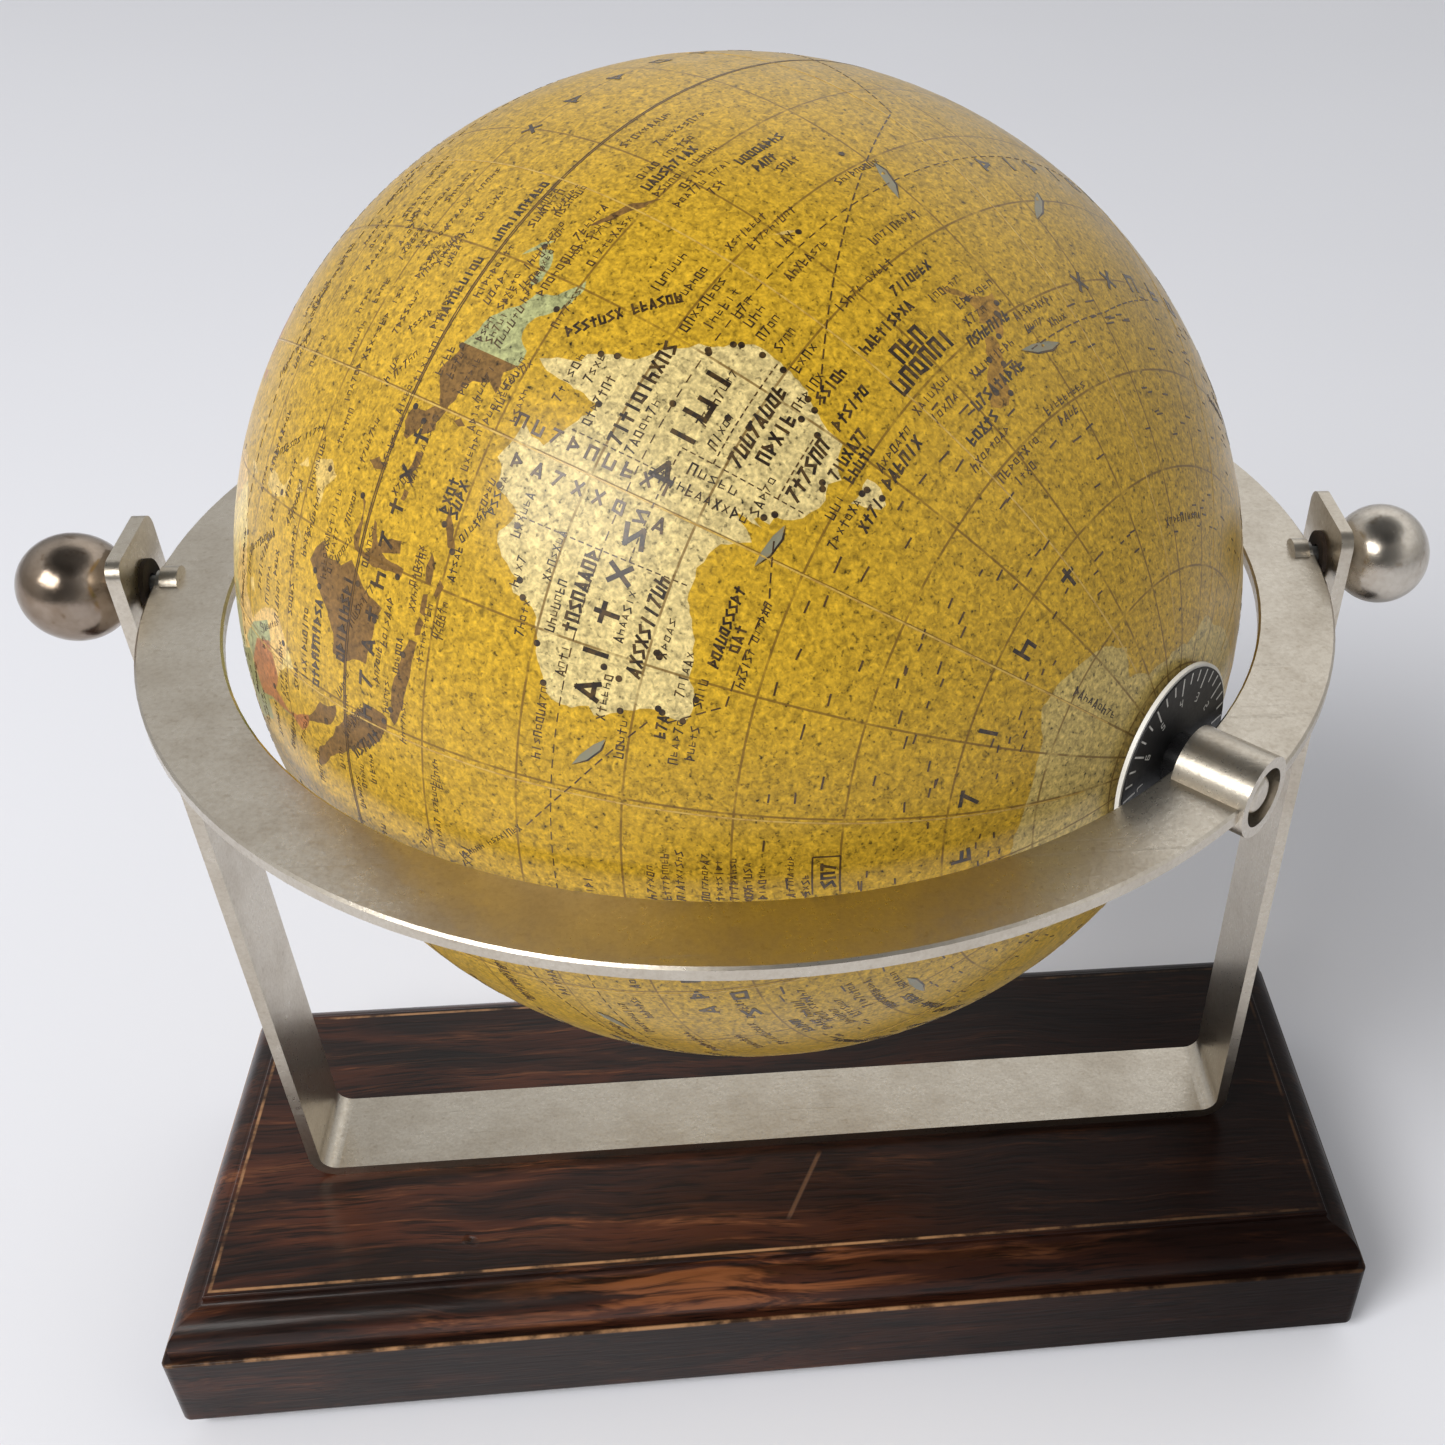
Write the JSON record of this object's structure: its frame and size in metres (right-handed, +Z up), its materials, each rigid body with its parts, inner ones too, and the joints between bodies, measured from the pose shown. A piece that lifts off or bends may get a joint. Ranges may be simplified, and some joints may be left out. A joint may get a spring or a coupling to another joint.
{
  "type": "desktop globe on stand",
  "caption": "Desk globe spinning on an axle held in a flat tilting ring, carried between ball knobs by a strap bracket on a moulded wooden plinth.",
  "frame": {"origin": "centre of the footprint, on the surface the feet stand on", "axes": "+Z up, +X along the plinth and the ring pivots, -Y the front"},
  "size_m": [0.223, 0.179, 0.2318],
  "materials": {
    "stained_wood": "dark stained and lacquered hardwood",
    "foot_pad": "matt black pad",
    "satin_nickel": "satin nickel plate on steel",
    "polished_nickel": "polished nickel plate",
    "zinc_steel": "plain plated steel",
    "dark_fibre": "vulcanised fibre",
    "black_plastic": "moulded black",
    "map_board": "printed map paper under gloss varnish",
    "plain_board": "unprinted pressed board",
    "pale_plastic": "moulded natural plastic",
    "white_plastic": "moulded white",
    "dial_print": "black print with pale scale marks"
  },
  "bodies": {
    "stand": {"plinth": "stained_wood", "feet": "foot_pad", "bracket": "satin_nickel", "fixing_studs": "zinc_steel", "fixing_washers": "zinc_steel", "fixing_nuts": "zinc_steel", "friction_washer_left": "dark_fibre", "friction_washer_right": "dark_fibre"},
    "tilt_frame": {"ring": "satin_nickel", "axle": "zinc_steel", "pivot_nut_left": "zinc_steel", "pivot_nut_right": "zinc_steel", "axle_bush_south": "black_plastic", "axle_bush_north": "black_plastic", "axle_cap_south": "polished_nickel", "axle_cap_north": "polished_nickel"},
    "globe": {"shell_south": "map_board", "shell_north": "map_board", "equator_band": "plain_board", "pole_plug_south": "pale_plastic", "pole_plug_north": "pale_plastic", "pole_dial_south": "white_plastic", "pole_dial_north": "white_plastic", "dial_face_south": "dial_print", "dial_face_north": "dial_print", "dial_boss_south": "black_plastic", "dial_boss_north": "black_plastic"},
    "clamp_left": {"knob_left": "polished_nickel", "knob_stud_left": "zinc_steel"},
    "clamp_right": {"knob_right": "polished_nickel", "knob_stud_right": "zinc_steel"}
  },
  "joints": [
    {"name": "ring_tilt", "type": "hinge", "parent": "stand", "child": "tilt_frame", "pos_m": [0, 0, 0.1568], "axis": [1, 0, 0], "continuous": true},
    {"name": "globe_spin", "type": "hinge", "parent": "tilt_frame", "child": "globe", "pos_m": [0, 0, 0.1568], "axis": [-0.7278, 0.6858, 0], "continuous": true},
    {"name": "knob_left_turn", "type": "hinge", "parent": "stand", "child": "clamp_left", "pos_m": [-0.1009, 0, 0.1568], "axis": [-1, 0, 0], "range_deg": [-180, 180]},
    {"name": "knob_right_turn", "type": "hinge", "parent": "stand", "child": "clamp_right", "pos_m": [0.1009, 0, 0.1568], "axis": [1, 0, 0], "range_deg": [-180, 180]}
  ]
}
